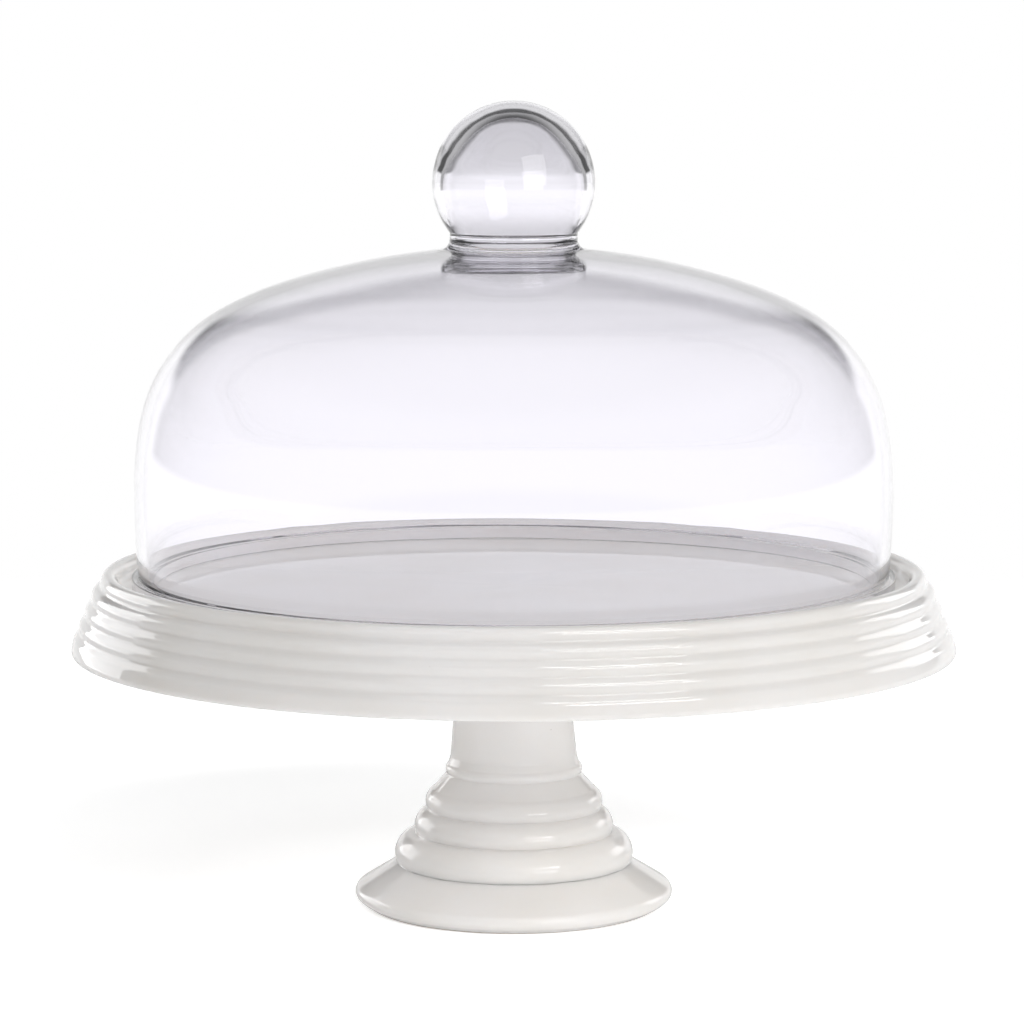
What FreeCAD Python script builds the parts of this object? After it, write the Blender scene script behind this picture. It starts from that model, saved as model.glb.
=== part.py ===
import FreeCAD, Part
import math
import os

import Sketcher

# Footed cake stand with a blown glass dome: a parametric FreeCAD document, in millimetres.
#
# The stand is thrown ceramic: a plate with a raised lip and a ribbed skirt, luted to a hollow
# beaded pedestal. The glass cover rests in the plate's well and lifts straight off: a bell, a
# ringed collar fused into its crown, and a hollow ball knob.
# The origin is the centre of the foot, on the table. +Z is up, along the axis of the turning.

doc = FreeCAD.newDocument("cake_stand")

# ---- driving dimensions, all in mm or degrees -------------------------------------------------
SIZES = {
    # plate
    "plate_radius": 160.0,      # widest point of the skirt's bottom band
    "skirt_base": 94.5,         # height of the skirt's lower edge
    "well_floor": 117.0,        # height of the flat that carries the cake and the dome
    "well_radius": 143.4,
    "plate_thickness": 6.0,
    "lip_radius": 149.3,
    "lip_roll": 3.2,            # radius of the rolled lip, and of each rib
    "lip_height": 120.3,        # height of the roll's centre
    "rib_top": 115.1,           # height of the uppermost rib's centre
    "rib_pitch": 5.4,
    "rib_step": 2.2,            # how much wider each rib is than the one above
    "rib_radius": 152.6,        # widest point of the uppermost rib
    "band_roll": 2.4,           # radius of the band that closes the skirt
    "band_rise": 1.2,           # height of that band's widest point over the lower edge
    "skirt_wall": 4.6,
    "rib_core": 2.5,            # how far the skirt's core lies inside the ribs' crests
    # pedestal
    "foot_contact": 53.6,       # outer radius of the ring that stands on the table
    "foot_bore": 47.0,
    "rim_radius": 58.0,
    "rim_roll": 2.8,
    "rim_height": 4.2,
    "flange_top": 15.6,
    "core_foot": 42.2,          # radius of the beaded cone at the flange
    "core_head": 25.0,          # and where the neck starts
    "neck_foot": 46.5,
    "neck_waist": 54.0,
    "neck_waist_radius": 23.1,
    "neck_slim": 84.0,
    "neck_slim_radius": 20.4,
    "head_radius": 29.0,
    "neck_bore": 15.2,
    "pedestal_wall": 5.4,
    "lute": 1.2,                # thickness of the fired slip between pedestal and plate
    # glass
    "glass_wall": 3.4,
    "foot_radius": 137.9,
    "foot_land": 130.4,
    "foot_height": 5.6,
    "dome_radius": 136.8,
    "equator": 152.9,           # height of the dome's widest point
    "skirt_arc": 400.0,
    "wall_arc": 122.0,
    "wall_turn": 12.0,
    "shoulder_arc": 58.2,
    "shoulder_turn": 62.3,
    "haunch_arc": 134.0,
    "haunch_turn": 72.3,
    "crown_hole": 27.0,
    # collar and knob
    "knob_bore": 19.6,
    "collar_base": 229.4,
    "collar_core": 24.0,
    "ring_radius": 26.4,        # widest point of the lowest ring
    "ring_roll": 1.3,
    "ring_pitch": 1.5,
    "ring_step": 0.5,           # how much narrower each ring is than the one below
    "knob_foot": 25.4,
    "neck_radius": 23.0,
    "neck_height": 241.4,
    "ball_radius": 29.2,
    "ball_height": 262.2,
    "cavity_radius": 26.0,
    "cavity_rise": 24.0,        # half height of the cavity
    "cavity_height": 261.0,
}
BEADS = {                       # pedestal beads: widest radius, roll radius, height
    "bead_low": (43.6, 7.7, 18.3),
    "bead_mid": (36.4, 6.85, 28.3),
    "bead_high": (32.4, 5.5, 37.3),
    "bead_neck": (25.0, 2.4, 49.4),
}
RIBS = 4
COLLAR_RINGS = 4

for name, (crest, roll, height) in BEADS.items():
    SIZES[name + "_radius"] = crest
    SIZES[name + "_roll"] = roll
    SIZES[name + "_height"] = height

sizes = doc.addObject("Spreadsheet::Sheet", "sizes")
for row, (alias, value) in enumerate(SIZES.items(), start=1):
    sizes.set(f"A{row}", alias)
    sizes.set(f"B{row}", str(value))
    sizes.setAlias(f"B{row}", alias)
doc.recompute()


# ---- helpers ----------------------------------------------------------------------------------
def said(expression):
    """The expression with every alias read from the sheet, as in lip_radius - lip_roll."""
    words = sorted(SIZES, key=len, reverse=True)
    for number, word in enumerate(words):
        expression = expression.replace(word, f"<{number}>")
    for number, word in enumerate(words):
        expression = expression.replace(f"<{number}>", "sizes." + word)
    return expression


def primitive(kind, name, base, **properties):
    """A Part primitive on the axis, its sizes and the height of its base bound to the sheet."""
    solid = doc.addObject("Part::" + kind, name)
    for label, expression in properties.items():
        solid.setExpression(label, said(expression))
    solid.setExpression("Placement.Base.z", said(base))
    return solid


def frustum(name, low, high, low_radius, high_radius):
    return primitive("Cone", name, low, Height=f"{high} - ({low})",
                     Radius1=low_radius, Radius2=high_radius)


def drum(name, low, high, radius):
    return primitive("Cylinder", name, low, Height=f"{high} - ({low})", Radius=radius)


def roll(name, crest, tube, height):
    """A torus whose widest point has the radius crest."""
    return primitive("Torus", name, height, Radius1=f"{crest} - ({tube})", Radius2=tube)


def fused(name, solids):
    union = doc.addObject("Part::MultiFuse", name)
    union.Shapes = solids
    union.Refine = True
    return union


def bored(name, outside, inside, label):
    """The finished sub-part: outside less inside."""
    part = doc.addObject("Part::Cut", name)
    part.Base = outside
    part.Tool = inside
    part.Label = label
    return part


# ---- plate: disc, rolled lip, ribbed skirt ----------------------------------------------------
def make_plate():
    slope = "rib_step / rib_pitch"
    core = "(rib_radius - rib_core)"
    lip_core = f"{core} - (lip_height - rib_top) * {slope}"
    base_core = f"{core} + (rib_top - skirt_base) * {slope}"
    pieces = [frustum("skirt_core", "skirt_base", "lip_height", base_core, lip_core),
              roll("lip", "lip_radius", "lip_roll", "lip_height"),
              roll("band", "plate_radius", "band_roll", "skirt_base + band_rise")]
    for rib in range(RIBS):
        pieces.append(roll(f"rib_{rib + 1}", f"rib_radius + {rib} * rib_step", "lip_roll",
                           f"rib_top - {rib} * rib_pitch"))
    underside = "well_floor - plate_thickness"
    hollow = [drum("well", "well_floor", "lip_height + 2 * lip_roll", "well_radius"),
              frustum("skirt_hollow", "skirt_base", underside, f"{base_core} - skirt_wall",
                      f"{lip_core} - skirt_wall"),
              drum("skirt_trim", "skirt_base - 2 * band_roll", "skirt_base",
                   "plate_radius + band_roll")]
    return bored("plate_cut", fused("plate_outside", pieces), fused("plate_inside", hollow), "plate")


# ---- pedestal: hollow foot, four beads, flared head -------------------------------------------
def make_pedestal():
    head = "well_floor - plate_thickness - lute"
    flange_edge = "rim_radius - rim_roll / 4"
    pieces = [frustum("foot_ring", "0", "rim_height", "foot_contact", flange_edge),
              roll("foot_rim", "rim_radius", "rim_roll", "rim_height"),
              frustum("flange", "rim_height", "flange_top", flange_edge, "core_foot"),
              frustum("beaded_cone", "flange_top", "neck_foot", "core_foot", "core_head"),
              frustum("neck_root", "neck_foot", "neck_waist", "core_head", "neck_waist_radius"),
              frustum("neck", "neck_waist", "neck_slim", "neck_waist_radius", "neck_slim_radius"),
              frustum("head", "neck_slim", head, "neck_slim_radius", "head_radius")]
    for bead in BEADS:
        pieces.append(roll(bead, bead + "_radius", bead + "_roll", bead + "_height"))
    hollow = [frustum("foot_hollow", "0", "flange_top", "foot_bore", "core_foot - pedestal_wall"),
              frustum("cone_hollow", "flange_top", "neck_foot", "core_foot - pedestal_wall",
                      "neck_bore"),
              drum("neck_hollow", "neck_foot", head, "neck_bore")]
    return bored("pedestal_cut", fused("pedestal_outside", pieces),
                 fused("pedestal_inside", hollow), "pedestal")


def make_slip_joint():
    underside = "well_floor - plate_thickness"
    disc = drum("slip_disc", f"{underside} - lute", underside, "head_radius")
    hole = drum("slip_hole", f"{underside} - lute", underside, "neck_bore")
    return bored("slip_cut", disc, hole, "slip_joint")


# ---- dome: a bell of one thickness, turned from tangent arcs ----------------------------------
def bell_points(offset):
    """The bell's outline from its equator to the crown hole, as (radius, height) expressions and
    the arc that leads to each. The offset, in mm of glass, is taken from every arc's radius."""
    arc = "wall_arc"
    across = "dome_radius - wall_arc"
    up = "equator"
    points = [("", f"dome_radius - {offset}", "equator")]
    for arc, turn, after in (("wall_arc", "wall_turn", "shoulder_arc"),
                             ("shoulder_arc", "shoulder_turn", "haunch_arc"),
                             ("haunch_arc", "haunch_turn", None)):
        radius = f"({arc} - {offset})"
        points.append((radius, f"{across} + {radius} * cos({turn})",
                       f"{up} + {radius} * sin({turn})"))
        if after:
            across = f"{across} + ({arc} - {after}) * cos({turn})"
            up = f"{up} + ({arc} - {after}) * sin({turn})"
    crown = f"(haunch_arc + ({across}) / cos(haunch_turn))"
    middle = f"({up} - ({across}) * tan(haunch_turn))"
    radius = f"({crown} - {offset})"
    points.append((radius, "crown_hole",
                   f"{middle} + sqrt({radius} * {radius} - crown_hole * crown_hole)"))
    return points


class Outline:
    """A closed sketch drawn corner by corner, each corner bound to the sheet in both directions."""

    def __init__(self, body, name):
        self.sketch = body.newObject("Sketcher::SketchObject", name)
        plane = next(p for p in body.Origin.OriginFeatures if p.Role == "XZ_Plane")
        self.sketch.AttachmentSupport = (plane, [""])
        self.sketch.MapMode = "FlatFace"
        self.start = None

    def number(self, expression):
        return float(sizes.evalExpression(said(expression)))

    def bind(self, where, expression, label):
        index = self.sketch.addConstraint(Sketcher.Constraint(*where, self.number(expression)))
        self.sketch.renameConstraint(index, label)
        self.sketch.setExpression("Constraints." + label, said(expression))

    def run(self, corners):
        """Each corner is (arc radius, way, radius, height), reached from the one before. The way
        is 1 for an arc run counterclockwise, -1 for clockwise and 0 for a straight line."""
        points = [FreeCAD.Vector(self.number(r), self.number(z), 0) for _, _, r, z in corners]
        ends = []
        for n, (arc, way, _, _) in enumerate(corners):
            start, end = points[n - 1], points[n]
            if way:
                middle = self.arc_middle(start, end, self.number(arc), way)
                first, last = (start, end) if way > 0 else (end, start)
                self.sketch.addGeometry(Part.Arc(first, middle, last))
            else:
                self.sketch.addGeometry(Part.LineSegment(start, end))
            ends.append((2, 1) if way < 0 else (1, 2))
        for n, (arc, way, r, z) in enumerate(corners):
            after = (n + 1) % len(corners)
            joined = (n, ends[n][1], after, ends[after][0])
            self.sketch.addConstraint(Sketcher.Constraint("Coincident", *joined))
            self.bind(("DistanceX", -1, 1, n, ends[n][1]), r, f"across_{n}")
            self.bind(("DistanceY", -1, 1, n, ends[n][1]), z, f"up_{n}")
            if way:
                self.bind(("Radius", n), arc, f"arc_{n}")

    @staticmethod
    def arc_middle(start, end, radius, way):
        chord = end - start
        across = FreeCAD.Vector(chord.y, -chord.x, 0).normalize()
        sagitta = radius - math.sqrt(radius ** 2 - chord.Length ** 2 / 4)
        return (start + end) / 2 + across * (sagitta * way)


def make_dome():
    body = doc.addObject("PartDesign::Body", "dome_body")
    body.Label = "dome"
    foot_top = "(well_floor + foot_height)"
    drop = f"(equator - {foot_top})"
    skirt = f"dome_radius - skirt_arc + sqrt(skirt_arc * skirt_arc - {drop} * {drop})"
    inner_arc = "(skirt_arc - glass_wall)"
    inner = f"dome_radius - skirt_arc + sqrt({inner_arc} * {inner_arc} - {drop} * {drop})"
    outside = bell_points("0")
    inside = bell_points("glass_wall")
    corners = [("", 0, "foot_land", "well_floor"),
               ("", 0, "foot_radius", "well_floor"),
               ("", 0, "foot_radius", foot_top),
               ("", 0, skirt, foot_top),
               ("skirt_arc", 1, *outside[0][1:])]
    corners += [(arc, 1, across, up) for arc, across, up in outside[1:]]
    corners.append(("", 0, *inside[-1][1:]))
    for step in range(len(inside) - 1, 0, -1):
        corners.append((inside[step][0], -1, *inside[step - 1][1:]))
    corners += [(inner_arc, -1, inner, foot_top),
                ("", 0, "foot_land", foot_top)]
    outline = Outline(body, "bell_outline")
    outline.run(corners)
    bell = body.newObject("PartDesign::Revolution", "bell")
    bell.Profile = outline.sketch
    bell.ReferenceAxis = (outline.sketch, ["V_Axis"])
    bell.Angle = 360
    outline.sketch.Visibility = False
    return body


# ---- collar and knob --------------------------------------------------------------------------
def crown_at_hole():
    """Heights of the crown's under and upper side where the collar passes through."""
    return bell_points("glass_wall")[-1][2], bell_points("0")[-1][2]


def make_collar():
    under, over = crown_at_hole()
    pieces = [drum("collar_drum", "collar_base", over, "collar_core"),
              drum("collar_hub", under, over, "crown_hole")]
    for ring in range(COLLAR_RINGS):
        pieces.append(roll(f"collar_ring_{ring + 1}", f"ring_radius - {ring} * ring_step",
                           "ring_roll", f"collar_base + ring_roll + {ring} * ring_pitch"))
    bore = drum("collar_bore", "collar_base", over, "knob_bore")
    return bored("collar_cut", fused("collar_outside", pieces), bore, "knob_collar")


def make_knob():
    over = crown_at_hole()[1]
    ball = primitive("Sphere", "ball", "ball_height", Radius="ball_radius")
    pieces = [frustum("knob_flare", over, "neck_height", "knob_foot", "neck_radius"),
              drum("knob_neck", "neck_height", "ball_height", "neck_radius"), ball]
    cavity = primitive("Ellipsoid", "knob_cavity", "cavity_height", Radius1="cavity_rise",
                       Radius2="cavity_radius", Radius3="cavity_radius")
    bore = drum("knob_bore_hole", over, "cavity_height", "knob_bore")
    ball_bottom = drum("ball_trim", "ball_height - ball_radius", over, "knob_foot")
    return bored("knob_cut", fused("knob_outside", pieces),
                 fused("knob_inside", [cavity, bore, ball_bottom]), "knob")


# ---- build, check, write ----------------------------------------------------------------------
PARTS = [make_plate(), make_pedestal(), make_slip_joint(), make_dome(), make_collar(), make_knob()]
doc.recompute()

for item in doc.Objects:
    if "Invalid" in item.State or "Error" in item.State:
        raise RuntimeError(f"{item.Name} did not build: {item.State}")
for part in PARTS:
    shape = part.Shape
    if shape.isNull() or not shape.isValid() or len(shape.Solids) != 1:
        raise RuntimeError(f"{part.Label} is not one valid solid")

os.makedirs("parts", exist_ok=True)
for part in PARTS:
    part.Shape.exportStep(os.path.join("parts", part.Label + ".step"))
    box = part.Shape.BoundBox
    print(f"{part.Label:12s} {part.Shape.Volume / 1000:8.1f} cm3  z {box.ZMin:6.1f} to {box.ZMax:6.1f}"
          f"  width {box.XLength:6.1f}")
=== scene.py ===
import math

import bpy
import numpy as np
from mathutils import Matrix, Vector


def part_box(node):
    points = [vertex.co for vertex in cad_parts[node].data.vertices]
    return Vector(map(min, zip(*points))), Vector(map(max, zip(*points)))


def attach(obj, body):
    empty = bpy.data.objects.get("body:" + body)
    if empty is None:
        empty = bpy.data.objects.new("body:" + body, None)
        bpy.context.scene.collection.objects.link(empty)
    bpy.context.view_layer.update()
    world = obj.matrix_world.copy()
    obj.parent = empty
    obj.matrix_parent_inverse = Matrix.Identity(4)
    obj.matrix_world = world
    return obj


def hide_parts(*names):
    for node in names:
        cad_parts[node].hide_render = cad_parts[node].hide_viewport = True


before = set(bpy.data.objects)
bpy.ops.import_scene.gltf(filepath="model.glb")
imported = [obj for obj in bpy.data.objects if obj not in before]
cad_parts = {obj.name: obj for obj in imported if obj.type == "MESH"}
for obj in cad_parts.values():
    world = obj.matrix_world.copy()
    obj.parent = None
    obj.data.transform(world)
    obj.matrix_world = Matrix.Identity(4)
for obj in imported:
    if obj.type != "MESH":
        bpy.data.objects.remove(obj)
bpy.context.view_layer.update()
mm = 0.001
print("frame:", ", ".join(sorted(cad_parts)))


# colours, shader nodes and small sums

def linear(hexColour):  # sRGB hex to the linear RGBA that shaders take
    parts = [int(hexColour[n:n + 2], 16) / 255 for n in (1, 3, 5)]
    return [p / 12.92 if p <= 0.04045 else ((p + 0.055) / 1.055) ** 2.4 for p in parts] + [1.0]


def addNode(tree, kind, settings=None, values=None, links=None):
    node = tree.nodes.new(kind)
    for key, value in (settings or {}).items():
        setattr(node, key, value)
    for key, value in (values or {}).items():
        node.inputs[key].default_value = value
    for key, source in (links or {}).items():
        tree.links.new(source, node.inputs[key])
    return node


def newMaterial(name):
    material = bpy.data.materials.new(name)
    material.use_nodes = True
    material.node_tree.nodes.clear()
    return material, material.node_tree


def perMetre(size):  # a texture's scale for features of that many millimetres
    return 1 / (size * mm)


def heightOf(node, end):  # lowest (0) or highest (1) point of a CAD node, in mm
    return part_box(node)[end].z / mm


def radiusOf(node):
    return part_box(node)[1].x / mm


# outlines, as radius and height in mm

def arc(centre, radius, start, end, step=0.25):  # angles in degrees, 0 points outwards
    count = max(4, int(abs(math.radians(end - start)) * radius / step))
    angles = np.radians(np.linspace(start, end, count + 1))
    return np.c_[centre[0] + radius * np.cos(angles), centre[1] + radius * np.sin(angles)]


def rolls(circles, start, end):  # round rolls stacked downwards, each met where it crosses the next
    angles = [start]
    for (r1, z1, a), (r2, z2, b) in zip(circles, circles[1:]):
        gap = math.hypot(r2 - r1, z2 - z1)
        along = (gap * gap + a * a - b * b) / (2 * gap)
        across = math.sqrt(a * a - along * along)
        right, up = (r2 - r1) / gap, (z2 - z1) / gap
        meet = (r1 + right * along - up * across, z1 + up * along + right * across)
        angles += [math.degrees(math.atan2(meet[1] - z1, meet[0] - r1)),
                   math.degrees(math.atan2(meet[1] - z2, meet[0] - r2))]
    angles.append(end)
    return np.vstack([arc(c[:2], c[2], angles[2 * n], angles[2 * n + 1])
                      for n, c in enumerate(circles)])


def soften(points, width, step=0.15):  # rounds every corner over about that width
    points = np.asarray(points, float)
    lengths = np.r_[0, np.cumsum(np.hypot(*np.diff(points, axis=0).T))]
    places = np.linspace(0, lengths[-1], int(lengths[-1] / step) + 1)
    even = np.c_[np.interp(places, lengths, points[:, 0]), np.interp(places, lengths, points[:, 1])]
    reach = max(1, int(width / step))
    weights = np.hanning(2 * reach + 3)[1:-1]
    weights /= weights.sum()
    padded = np.vstack([2 * even[0] - even[reach:0:-1], even,
                        2 * even[-1] - even[-2:-reach - 2:-1]])
    return np.c_[[np.convolve(padded[:, k], weights, "valid") for k in (0, 1)]].T


def thin(points, bend=2.5, longest=4.0):  # keeps the points that the curve needs
    steps = np.diff(points, axis=0)
    heading = np.degrees(np.unwrap(np.arctan2(steps[:, 1], steps[:, 0])))
    kept = [0]
    for n in range(1, len(steps)):
        far = np.hypot(*(points[n] - points[kept[-1]])) > longest
        if far or abs(heading[n] - heading[kept[-1]]) > bend:
            kept.append(n)
    return points[kept + [len(points) - 1]]


swellCounts = (1, 2, 3, 5, 7, 11)  # how many swells go once round a piece


def turned(name, outline, segments, uneven, waves, seed, steady=12):
    # spins an outline about the axis, and lets the surface wander as hand-finished ware does:
    # uneven is how far in mm, waves says how many swells there are from foot to rim per 100 mm, and
    # steady is the radius in mm within which it wanders less
    draw = np.random.default_rng(seed)
    angles = np.arange(segments) * 2 * math.pi / segments
    steps = np.gradient(outline, axis=0)
    across = np.c_[steps[:, 1], -steps[:, 0]] / np.hypot(*steps.T)[:, None]
    swell = np.zeros((len(outline), segments))
    for swells in swellCounts:
        climb = draw.normal(0, waves * 2 * math.pi / 100)
        phase = draw.uniform(0, 2 * math.pi) + climb * outline.sum(axis=1)
        swell += np.cos(swells * angles[None, :] + phase[:, None]) / swells
    fade = np.clip(outline[:, 0] / steady, 0, 1) ** 2
    shift = swell * (uneven / 2) * fade[:, None]
    radius = outline[:, :1] + shift * across[:, :1]
    height = outline[:, 1:] + shift * across[:, 1:]
    height = np.maximum(height, outline[:, 1].min())  # what it stands on stays flat
    points = np.stack([radius * np.cos(angles), radius * np.sin(angles), height], axis=-1) * mm
    onAxis = outline[:, 0] < 1e-6
    verts, rows = [], []
    for n, row in enumerate(points):
        rows.append([len(verts)] if onAxis[n] else list(range(len(verts), len(verts) + segments)))
        verts.extend(row[:1] if onAxis[n] else row)
    ringed = not onAxis.any()
    faces, belt = [], []
    for n in range(len(rows) if ringed else len(rows) - 1):
        lower, upper = rows[n], rows[(n + 1) % len(rows)]
        for k in range(segments):
            j = (k + 1) % segments
            if len(lower) == 1:
                faces.append([lower[0], upper[k], upper[j]])
            elif len(upper) == 1:
                faces.append([lower[k], upper[0], lower[j]])
            else:
                faces.append([lower[k], upper[k], upper[j], lower[j]])
            belt.append(n)
    mesh = bpy.data.meshes.new(name)
    mesh.from_pydata([tuple(v) for v in verts], [], faces)
    mesh.shade_smooth()
    mesh.update()
    piece = bpy.data.objects.new(name, mesh)
    bpy.context.scene.collection.objects.link(piece)
    return piece, np.array(belt)


# camera, at table height looking slightly down, first of all
view = {"distance": 1300, "side": -0.6, "height": 297.1, "down": 6.75, "lens": 127.05}
camera = bpy.data.objects.new("camera", bpy.data.cameras.new("camera"))
camera.data.lens = view["lens"]
camera.data.sensor_width = 36
camera.data.clip_start = 0.05
camera.location = (view["side"] * mm, -view["distance"] * mm, view["height"] * mm)
camera.rotation_euler = (math.radians(90 - view["down"]), 0, 0)
bpy.context.scene.collection.objects.link(camera)
bpy.context.scene.camera = camera
bpy.context.scene.view_settings.view_transform = "Standard"
print("camera set")


# materials

glaze = {"body": "#F2F0EF", "pooled": "#EBE8E4", "speck": "#6B5A4A", "ior": 1.52, "roughness": 0.035,
         "depth": 3.0, "milkiness": 0.7, "scatter": (1.0, 0.96, 0.93),
         "pool": 60, "poolRange": (0.35, 0.75), "speckle": 4.5, "speckSize": 0.35, "speckFrom": 0.985,
         "speckStrength": 0.8, "orangePeel": 1.6, "peelDepth": 0.012, "peelStrength": 0.35}


def makeGlaze(name):
    # tin-white glaze, dipped and fired over a turned stoneware body: wet shine, a warmer and
    # greyer tone where it pools, a few dark iron specks and a very fine orange peel
    material, tree = newMaterial(name)
    place = addNode(tree, "ShaderNodeTexCoord").outputs["Object"]
    pooling = addNode(tree, "ShaderNodeTexNoise", values={"Scale": perMetre(glaze["pool"]), "Detail": 2.0},
                      links={"Vector": place})
    begins, full = glaze["poolRange"]
    share = addNode(tree, "ShaderNodeMapRange", values={"From Min": begins, "From Max": full},
                    links={"Value": pooling.outputs["Fac"]})
    tone = addNode(tree, "ShaderNodeMix", {"data_type": "RGBA"},
                   {6: linear(glaze["body"]), 7: linear(glaze["pooled"])}, {0: share.outputs[0]})
    cells = addNode(tree, "ShaderNodeTexVoronoi", values={"Scale": perMetre(glaze["speckle"])},
                    links={"Vector": place})
    rare = addNode(tree, "ShaderNodeSeparateColor", links={0: cells.outputs["Color"]})
    chosen = addNode(tree, "ShaderNodeMath", {"operation": "GREATER_THAN"}, {1: glaze["speckFrom"]},
                     {0: rare.outputs[0]})
    size = glaze["speckSize"] / glaze["speckle"] / 2
    near = addNode(tree, "ShaderNodeMapRange",
                   values={"From Min": size, "From Max": size * 0.4, "To Min": 0.0,
                           "To Max": glaze["speckStrength"]},
                   links={"Value": cells.outputs["Distance"]})
    speck = addNode(tree, "ShaderNodeMath", {"operation": "MULTIPLY"},
                    links={0: chosen.outputs[0], 1: near.outputs[0]})
    colour = addNode(tree, "ShaderNodeMix", {"data_type": "RGBA"}, {7: linear(glaze["speck"])},
                     {0: speck.outputs[0], 6: tone.outputs[2]})
    peel = addNode(tree, "ShaderNodeTexNoise", values={"Scale": perMetre(glaze["orangePeel"]), "Detail": 1.0},
                   links={"Vector": place})
    bump = addNode(tree, "ShaderNodeBump",
                   values={"Strength": glaze["peelStrength"], "Distance": glaze["peelDepth"] * mm},
                   links={"Height": peel.outputs["Fac"]})
    shader = addNode(tree, "ShaderNodeBsdfPrincipled",
                     values={"Roughness": glaze["roughness"], "IOR": glaze["ior"],
                             "Subsurface Weight": glaze["milkiness"], "Subsurface Radius": glaze["scatter"],
                             "Subsurface Scale": glaze["depth"] * mm},
                     links={"Base Color": colour.outputs[2], "Normal": bump.outputs[0]})
    addNode(tree, "ShaderNodeOutputMaterial", links={"Surface": shader.outputs[0]})
    return material


biscuit = {"body": "#B79C7C", "dark": "#8F7355", "grain": 0.5, "grit": 0.05, "roughness": 0.85}


def makeBiscuit():
    # biscuit stoneware, wiped clean of glaze before firing so that it doesn't stick to the kiln
    # shelf: dry, sandy and brown
    material, tree = newMaterial("biscuit stoneware")
    place = addNode(tree, "ShaderNodeTexCoord").outputs["Object"]
    grain = addNode(tree, "ShaderNodeTexNoise", values={"Scale": perMetre(biscuit["grain"]), "Detail": 4.0},
                    links={"Vector": place})
    tone = addNode(tree, "ShaderNodeMix", {"data_type": "RGBA"},
                   {6: linear(biscuit["body"]), 7: linear(biscuit["dark"])}, {0: grain.outputs["Fac"]})
    bump = addNode(tree, "ShaderNodeBump", values={"Strength": 0.5, "Distance": biscuit["grit"] * mm},
                   links={"Height": grain.outputs["Fac"]})
    shader = addNode(tree, "ShaderNodeBsdfPrincipled", values={"Roughness": biscuit["roughness"]},
                     links={"Base Color": tone.outputs[2], "Normal": bump.outputs[0]})
    addNode(tree, "ShaderNodeOutputMaterial", links={"Surface": shader.outputs[0]})
    return material


glass = {"tint": "#FCFBFF", "ior": 1.5, "ripple": 14, "rippleDepth": 0.02}


def makeGlass():
    # lead-free glass, blown into a mould and fire-polished: quite clear, with a faint violet cast
    # from the manganese that hides the iron, and long soft ripples left by the mould
    material, tree = newMaterial("lead-free glass")
    place = addNode(tree, "ShaderNodeTexCoord").outputs["Object"]
    ripple = addNode(tree, "ShaderNodeTexNoise", values={"Scale": perMetre(glass["ripple"]), "Detail": 0.0},
                     links={"Vector": place})
    bump = addNode(tree, "ShaderNodeBump", values={"Strength": 0.2, "Distance": glass["rippleDepth"] * mm},
                   links={"Height": ripple.outputs["Fac"]})
    shader = addNode(tree, "ShaderNodeBsdfPrincipled",
                     values={"Base Color": linear(glass["tint"]), "Roughness": 0.0, "IOR": glass["ior"],
                             "Transmission Weight": 1.0}, links={"Normal": bump.outputs[0]})
    addNode(tree, "ShaderNodeOutputMaterial", links={"Surface": shader.outputs[0]})
    return material


whiteGlaze = makeGlaze("tin-white glaze")
biscuitWare = makeBiscuit()
clearGlass = makeGlass()
print("materials made")


# plate: a flat well inside a rolled lip, over a ribbed skirt that hangs down

plate = {"wellRadius": 143.0, "wellFillet": 2.2, "lipRadius": 149.3, "lipRoll": 3.2, "lipRise": 3.3,
         "ribs": 4, "ribRadius": 152.6, "ribDrop": 1.9, "ribPitch": 5.4, "ribStep": 2.2, "bandRoll": 2.4,
         "bandRise": 1.2, "wall": 4.6, "thickness": 6.0, "innerFillet": 7.0, "ribSoft": 3.4, "soft": 1.0,
         "bend": 3.0, "longest": 6.0, "segments": 360, "uneven": 0.10, "waves": 1.2, "seed": 11}
wellFloor = heightOf("dome", 0)
skirtBase = heightOf("plate", 0)
plateRadius = radiusOf("plate")


def plateOutline():
    fillet = plate["wellFillet"]
    top = [(0, wellFloor), (plate["wellRadius"] - fillet, wellFloor)]
    top += list(arc((plate["wellRadius"] - fillet, wellFloor + fillet), fillet, -90, 0))
    circles = [(plate["lipRadius"] - plate["lipRoll"], wellFloor + plate["lipRise"], plate["lipRoll"])]
    for rib in range(plate["ribs"]):
        circles.append((plate["ribRadius"] + rib * plate["ribStep"] - plate["lipRoll"],
                        wellFloor - plate["ribDrop"] - rib * plate["ribPitch"], plate["lipRoll"]))
    circles.append((plateRadius - plate["bandRoll"], skirtBase + plate["bandRise"], plate["bandRoll"]))
    end = -math.degrees(math.asin(plate["bandRise"] / plate["bandRoll"]))
    outside = soften(rolls(circles, 180, end), plate["ribSoft"])
    slope = plate["ribStep"] / plate["ribPitch"]
    under = wellFloor - plate["thickness"]
    inner = circles[-2][0] - plate["wall"] / 2
    innerTop = inner - slope * (under - skirtBase)
    bend = plate["innerFillet"]
    inside = [(inner, skirtBase), (innerTop, under - bend)]
    inside += list(arc((innerTop - bend, under - bend), bend, 0, 90)) + [(0, under)]
    return np.vstack([top, outside, inside])


def makePlate():
    outline = soften(plateOutline(), plate["soft"])
    outline[0, 0] = outline[-1, 0] = 0
    outline = thin(outline, plate["bend"], plate["longest"])
    piece, _ = turned("plateGlaze", outline, plate["segments"], plate["uneven"], plate["waves"],
                      plate["seed"])
    piece.data.materials.append(whiteGlaze)
    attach(piece, "stand")
    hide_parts("plate")
    return piece


plateGlaze = makePlate()
print("plate turned:", len(plateGlaze.data.polygons), "faces")


# pedestal: a spread foot, three fat beads and one small one, and a slim neck that flares to the plate

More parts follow.
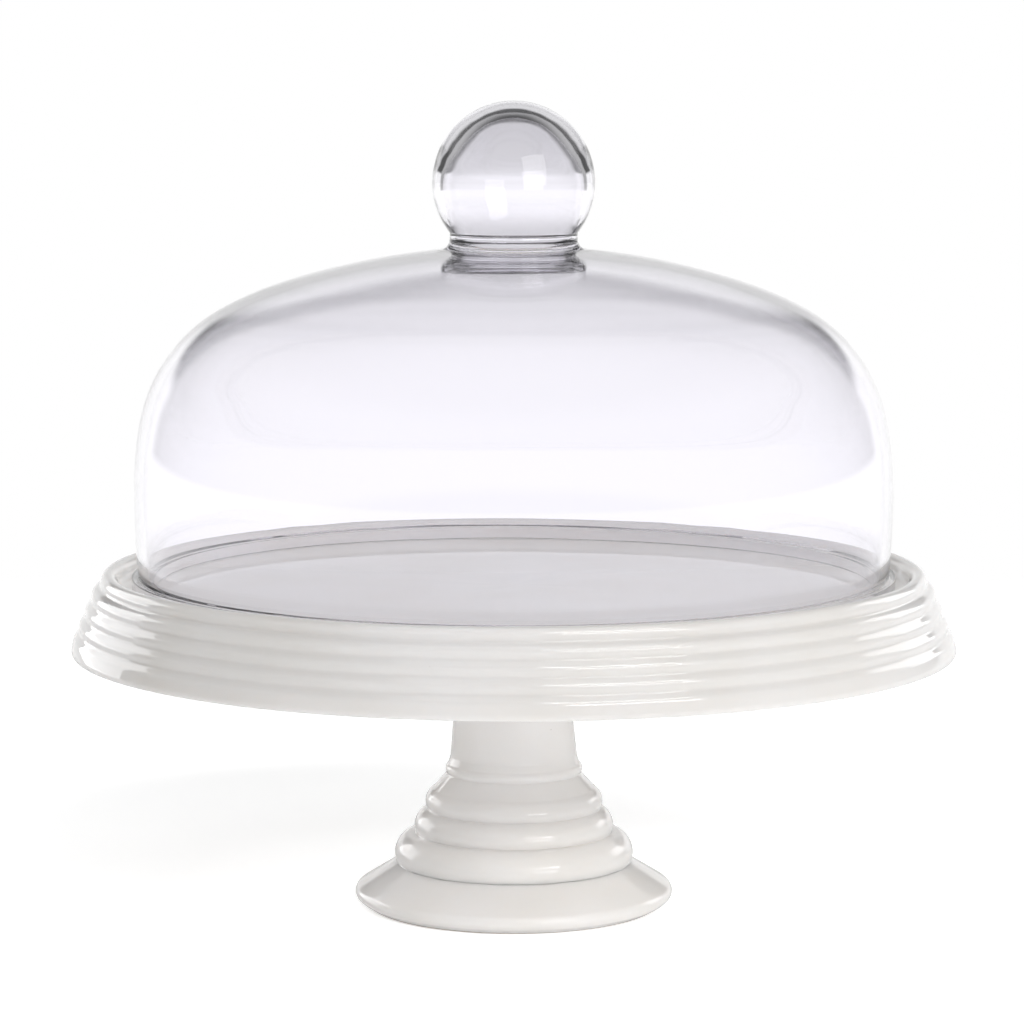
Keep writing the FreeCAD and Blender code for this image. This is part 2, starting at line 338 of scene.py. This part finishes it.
pedestal = {"contact": 53.6, "bore": 47.0, "rimRadius": 58.0, "rimRoll": 2.8, "rimHeight": 4.2,
            "flangeTop": 15.6, "flangeRadius": 42.2,
            # beads as the radius of the crest, the radius of the roll and the height of its middle
            "beads": [(43.6, 7.7, 18.3), (36.4, 6.85, 28.3), (32.4, 5.5, 37.3)],
            "smallBead": (25.0, 2.4, 49.4),
            # where each roll starts and ends, in degrees above level
            "beadTurn": (62, -62), "smallTurn": (55, -40), "rimTurn": (62, -58),
            "waist": (23.1, 54.0), "slim": (20.4, 84.0), "head": 29.0, "neckBore": 15.2, "wall": 5.4,
            "bareBelow": 0.9, "neckSoft": 7.0, "soft": 0.7,
            "segments": 300, "uneven": 0.22, "waves": 2.5, "seed": 5}


def pedestalOutline():
    head = heightOf("pedestal", 1)
    rim = (pedestal["rimRadius"] - pedestal["rimRoll"], pedestal["rimHeight"])
    beads = [(crest - roll, height, roll) for crest, roll, height in pedestal["beads"]]
    crest, roll, height = pedestal["smallBead"]
    small = (crest - roll, height, roll)
    neck = [pedestal["head"], pedestal["slim"][0], pedestal["waist"][0]]
    heights = [head, pedestal["slim"][1], pedestal["waist"][1]]
    up = np.linspace(heights[0], heights[2], 60)
    slim = np.interp(up, heights[::-1], neck[::-1])
    column = soften(np.c_[slim, up], pedestal["neckSoft"])
    outside = [column, arc(small[:2], small[2], *pedestal["smallTurn"]),
               rolls(beads[::-1], *pedestal["beadTurn"]),
               [(pedestal["flangeRadius"], pedestal["flangeTop"])],
               arc(rim, pedestal["rimRoll"], *pedestal["rimTurn"]),
               [(pedestal["contact"], 0), (pedestal["bore"], 0)]]
    inside = [(pedestal["flangeRadius"] - pedestal["wall"], pedestal["flangeTop"]),
              (pedestal["neckBore"], height - roll), (pedestal["neckBore"], head)]
    return np.vstack(outside + [inside])


def makePedestal():
    outline = thin(soften(pedestalOutline(), pedestal["soft"]))
    piece, belt = turned("pedestalGlaze", outline, pedestal["segments"], pedestal["uneven"],
                         pedestal["waves"], pedestal["seed"])
    piece.data.materials.append(whiteGlaze)
    piece.data.materials.append(biscuitWare)
    low = outline[:, 1] < pedestal["bareBelow"]
    bare = (low & np.roll(low, -1))[belt]
    piece.data.polygons.foreach_set("material_index", bare.astype(np.int32))
    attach(piece, "stand")
    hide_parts("pedestal")
    return piece


pedestalGlaze = makePedestal()
print("pedestal turned:", len(pedestalGlaze.data.polygons), "faces")


# slip joint: the ring of slip that sticks pedestal and plate together, squeezed out a little

slip = {"innerRoll": 0.5, "segments": 180, "uneven": 0.12, "waves": 3.0, "seed": 3}


def makeSlip():
    low, high = heightOf("slip_joint", 0), heightOf("slip_joint", 1)
    outer, inner = pedestal["head"], pedestal["neckBore"]
    middle = (low + high) / 2
    half = (high - low) / 2
    outline = np.vstack([arc((outer, middle), half, 90, -90, 0.1),
                         arc((inner, middle), half * slip["innerRoll"], 270, 90, 0.1)])
    piece, _ = turned("slipRing", outline, slip["segments"], slip["uneven"], slip["waves"], slip["seed"])
    piece.data.materials.append(whiteGlaze)
    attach(piece, "stand")
    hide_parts("slip_joint")
    return piece


slipRing = makeSlip()


# glass cover: a bell with a ringed collar inside its crown, and the hollow ball knob fused on top

cover = {"wall": 3.4, "footRadius": 137.9, "footLand": 130.4, "footHeight": 5.6, "domeRadius": 136.8,
         # arcs above the equator, as radius and the slope in degrees at which each ends
         "equator": 152.9, "skirtArc": 400.0, "arcs": [(122.0, 12.0), (58.2, 62.3), (134.0, 72.3)],
         "collar": [(25.2, 5.3), (26.2, 3.8), (26.4, 2.0), (25.6, 0.6), (24.0, 0.0)],
         # grooves in the collar's bore, as the heights of the edges between them
         "bore": 19.6, "grooves": [0.5, 2.7, 4.7, 6.4, 7.7], "grooveDepth": 0.45, "grooveSoft": 0.3,
         "footBlend": 1.5, "footEdge": 1.0, "crownBlend": 0.6, "soft": 0.5, "longest": 3.0,
         "segments": 380, "uneven": 0.06, "waves": 0.6, "steady": 90}


def bell(offset, footTop, last):  # the bell's outline from its foot up to the collar
    equator, side = cover["equator"], cover["domeRadius"]
    tall = cover["skirtArc"] - offset
    low = -math.degrees(math.asin((equator - footTop) / tall))
    parts = [arc((side - cover["skirtArc"], equator), tall, low, 0, 1)]
    across, up, turn = side - cover["arcs"][0][0], equator, 0
    for n, (radius, until) in enumerate(cover["arcs"]):
        if n:
            change = cover["arcs"][n - 1][0] - radius
            across += change * math.cos(math.radians(turn))
            up += change * math.sin(math.radians(turn))
        parts.append(arc((across, up), radius - offset, turn, until, 1))
        turn = until
    crown = cover["arcs"][-1][0] + across / math.cos(math.radians(turn))
    middle = up - across * math.tan(math.radians(turn))
    end = math.degrees(math.acos(last / (crown - offset)))
    parts.append(arc((0, middle), crown - offset, turn, end, 1))
    return np.vstack(parts)


knob = {"neckRadius": 23.0, "flare": [(23.2, 2.4), (24.0, 1.1), (25.4, 0.0)], "ballRadius": 29.2,
        # where the two skins meet, above the root of the neck, and how far they stay apart
        "seamRise": 2.8, "seamGap": 0.02, "seamOuter": 23.1, "seamInner": 20.3, "rootHeight": 1.6,
        # the hollow, as radius and distance below the top of the ball
        "hollow": [(22.6, 43.4), (24.7, 37.0), (25.6, 31.0), (25.0, 25.4), (22.9, 20.4), (20.0, 16.2),
                   (16.8, 12.8), (13.3, 10.0), (9.3, 7.8), (4.9, 6.4), (0, 5.9)],
        "soft": 0.4, "hollowSoft": 4.0}


def bellOutline():  # closed: round the mouth, out over the bell, round its foot and back up inside
    seam = heightOf("knob", 0)
    land, base = heightOf("dome", 0), heightOf("knob_collar", 0)
    footTop, mouth = land + cover["footHeight"], seam + knob["seamRise"]
    lip = [(knob["seamInner"], mouth), (knob["seamOuter"], mouth)]
    flare = [(radius, seam + rise) for radius, rise in knob["flare"]]
    start, edge = footTop - cover["footBlend"], footTop - cover["footEdge"]
    outside = bell(0, start, flare[-1][0] + cover["crownBlend"])[::-1]
    foot = [(cover["footRadius"], edge), (cover["footRadius"], land),
            (cover["footLand"], land), (cover["footLand"], edge)]
    inside = bell(cover["wall"], start, cover["collar"][0][0] + cover["crownBlend"])
    collar = [(radius, base + rise) for radius, rise in cover["collar"]] + [(cover["bore"], base)]
    grooves = []
    for low, high in zip(cover["grooves"], cover["grooves"][1:]):
        for share in np.linspace(0, 1, 9):
            depth = cover["grooveDepth"] * math.sin(math.pi * share)
            grooves.append((cover["bore"] - depth, base + low + (high - low) * share))
    skin = soften(np.vstack([lip[1:], flare, outside, foot, inside, collar, grooves[:1]]), cover["soft"])
    bore = soften(grooves, cover["grooveSoft"], 0.08)[1:]
    return np.vstack([lip[:1], skin, bore, [(knob["seamInner"], mouth - cover["grooveSoft"])]])


def knobOutline():  # from the top of the ball down to the seam and back up inside the hollow
    top = heightOf("knob", 1)
    mouth = heightOf("knob", 0) + knob["seamRise"] + knob["seamGap"]
    meet = -math.degrees(math.acos(knob["neckRadius"] / knob["ballRadius"]))
    ball = arc((0, top - knob["ballRadius"]), knob["ballRadius"], 90, meet)
    root = [(knob["neckRadius"], mouth + knob["rootHeight"]), (knob["seamOuter"], mouth)]
    hollow = [(radius, top - drop) for radius, drop in knob["hollow"]]
    outline = np.vstack([soften(np.vstack([ball, root]), knob["soft"]),
                         soften([(knob["seamInner"], mouth)] + hollow, knob["hollowSoft"])])
    outline[0, 0] = outline[-1, 0] = 0
    return outline


def makeGlassware(name, outline, bend, seed, *nodes):
    outline = thin(outline, bend, cover["longest"])
    piece, _ = turned(name, outline, cover["segments"], cover["uneven"], cover["waves"], seed,
                      cover["steady"])
    piece.data.materials.append(clearGlass)
    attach(piece, "cover")
    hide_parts(*nodes)
    piece.visible_shadow = False  # clear glass hardly shades what is under it
    piece.visible_diffuse = False
    return piece


glassBell = makeGlassware("glassBell", bellOutline(), 2.5, 21, "dome", "knob_collar")
glassKnob = makeGlassware("glassKnob", knobOutline(), 1.2, 22, "knob")
print("glass blown:", len(glassBell.data.polygons) + len(glassKnob.data.polygons), "faces")


# studio: a low white backdrop, a dim room, a dark ceiling and large softboxes

studio = {"room": 0.46, "left": 0.42, "backdrop": 1.10, "floor": 1.10, "above": 0.065, "sweep": 0.74,
          "fill": 0.80,  # how much of it lights matt surfaces
          # where one turns into the next, by how far a direction points to the right, back or up
          "leftEdge": (-0.84, -0.50), "ceilingEdge": (0.52, 0.87), "backdropTop": (0.16, 0.24),
          "sweepFade": (-0.04, 0.20), "sweepTop": (0.38, 0.50), "sweepSide": (0.20, 0.32),
          "backdropSide": (0.75, 0.80), "horizon": (-0.04, -0.01)}


def makeStudio():
    world = bpy.data.worlds.new("studio")
    bpy.context.scene.world = world
    world.use_nodes = True
    tree = world.node_tree
    tree.nodes.clear()
    toward = addNode(tree, "ShaderNodeSeparateXYZ",
                     links={0: addNode(tree, "ShaderNodeTexCoord").outputs["Generated"]})
    right, back, up = toward.outputs

    def blended(first, second, way, edge):  # from first to second as way crosses that edge
        low, high = studio[edge]
        share = addNode(tree, "ShaderNodeMapRange", {"interpolation_type": "SMOOTHSTEP"},
                        {"From Min": low, "From Max": high}, {"Value": way})
        mixed = addNode(tree, "ShaderNodeMix", links={0: share.outputs[0]})
        for socket, value in ((2, first), (3, second)):
            if isinstance(value, float):
                mixed.inputs[socket].default_value = value
            else:
                tree.links.new(value, mixed.inputs[socket])
        return mixed.outputs[0]

    room = blended(studio["left"], studio["room"], right, "leftEdge")
    room = blended(room, studio["above"], up, "ceilingEdge")
    wall = blended(studio["backdrop"], studio["above"], up, "backdropTop")
    sweep = blended(studio["backdrop"], studio["sweep"], up, "sweepFade")
    sweep = blended(sweep, studio["above"], up, "sweepTop")
    aside = addNode(tree, "ShaderNodeMath", {"operation": "ABSOLUTE"}, links={0: right}).outputs[0]
    wall = blended(sweep, wall, aside, "sweepSide")
    light = blended(room, wall, back, "backdropSide")
    light = blended(studio["floor"], light, up, "horizon")
    path = addNode(tree, "ShaderNodeLightPath")
    dimmed = addNode(tree, "ShaderNodeMapRange", values={"To Min": 1.0, "To Max": studio["fill"]},
                     links={"Value": path.outputs["Is Diffuse Ray"]})
    light = addNode(tree, "ShaderNodeMath", {"operation": "MULTIPLY"},
                    links={0: light, 1: dimmed.outputs[0]}).outputs[0]
    seen = addNode(tree, "ShaderNodeBackground", values={"Color": linear("#FFFFFF"), "Strength": 1.0})
    around = addNode(tree, "ShaderNodeBackground", values={"Color": linear("#FFFFFF")},
                     links={"Strength": light})
    mixed = addNode(tree, "ShaderNodeMixShader", links={
        0: path.outputs["Is Camera Ray"], 1: around.outputs[0], 2: seen.outputs[0]})
    addNode(tree, "ShaderNodeOutputWorld", links={"Surface": mixed.outputs[0]})


aimHeight = 200  # what the softboxes point at, in mm


def softbox(name, azimuth, elevation, distance, size, radiance, pieces):
    # azimuth and elevation in degrees, from the front towards the right and up; distance and size in
    # metres; radiance is that of its cloth. It lights, and is mirrored by, those pieces alone
    lamp = bpy.data.lights.new(name, "AREA")
    lamp.shape = "RECTANGLE"
    lamp.size, lamp.size_y = size
    lamp.energy = radiance * math.pi * size[0] * size[1]
    box = bpy.data.objects.new(name, lamp)
    turn, lift = math.radians(azimuth), math.radians(elevation)
    away = Vector((math.sin(turn) * math.cos(lift), -math.cos(turn) * math.cos(lift), math.sin(lift)))
    box.location = Vector((0, 0, aimHeight * mm)) + away * distance
    box.rotation_euler = away.to_track_quat("Z", "Y").to_euler()
    bpy.context.scene.collection.objects.link(box)
    box.visible_camera = False
    lit = bpy.data.collections.new(name + " lights")
    for piece in pieces:
        lit.objects.link(piece)
    box.light_linking.receiver_collection = lit
    return box


# matt laminate that glows a little, as if lit from below, and fades into the white around it
laminate = {"colour": "#F6F6F6", "glow": 0.12, "seenGlow": 0.50, "clear": 0.55, "edge": 0.95}


def makeFloor():
    bpy.ops.mesh.primitive_circle_add(vertices=96, radius=laminate["edge"], fill_type="TRIFAN")
    floor = bpy.context.object
    floor.name = "floor"
    material, tree = newMaterial("matt white laminate")
    place = addNode(tree, "ShaderNodeTexCoord").outputs["Object"]
    reach = addNode(tree, "ShaderNodeVectorMath", {"operation": "LENGTH"}, links={0: place})
    fade = addNode(tree, "ShaderNodeMapRange", {"interpolation_type": "SMOOTHSTEP"},
                   {"From Min": laminate["clear"], "From Max": laminate["edge"]},
                   {"Value": reach.outputs["Value"]})
    white = addNode(tree, "ShaderNodeBsdfDiffuse", values={"Color": linear(laminate["colour"])})
    bright = addNode(tree, "ShaderNodeMapRange",
                     values={"To Min": laminate["glow"], "To Max": laminate["seenGlow"]},
                     links={"Value": addNode(tree, "ShaderNodeLightPath").outputs["Is Camera Ray"]})
    glow = addNode(tree, "ShaderNodeEmission", values={"Color": linear("#FFFFFF")},
                   links={"Strength": bright.outputs[0]})
    lit = addNode(tree, "ShaderNodeAddShader", links={0: white.outputs[0], 1: glow.outputs[0]})
    clear = addNode(tree, "ShaderNodeBsdfTransparent")
    mixed = addNode(tree, "ShaderNodeMixShader",
                    links={0: fade.outputs[0], 1: lit.outputs[0], 2: clear.outputs[0]})
    addNode(tree, "ShaderNodeOutputMaterial", links={"Surface": mixed.outputs[0]})
    floor.data.materials.append(material)
    return floor


makeStudio()
floor = makeFloor()
ware = [plateGlaze, pedestalGlaze, slipRing, floor]
under = [pedestalGlaze, floor]
softboxes = {"softboxFrontRight": (31, 20, 1.5, (0.85, 1.1), 2.6, [glassKnob]),
             "softboxStripHigh": (30, 42, 1.5, (0.9, 0.20), 10.0, ware),
             "softboxStripLow": (30, 20, 1.5, (0.9, 0.14), 11.0, ware),
             "softboxStripTable": (30, 2, 1.5, (0.7, 0.16), 8.0, under),
             "softboxRearRight": (129, 16, 1.4, (0.55, 0.7), 2.0, ware),
             "softboxRearLeft": (-130, 10, 1.5, (0.9, 0.9), 2.2, ware),
             "softboxOverhead": (10, 80, 1.5, (1.4, 1.2), 0.9, ware),
             "softboxFrontHigh": (15, 33, 1.6, (1.6, 0.7), 2.1, under)}
for name, placing in softboxes.items():
    softbox(name, *placing)
print("studio lit")
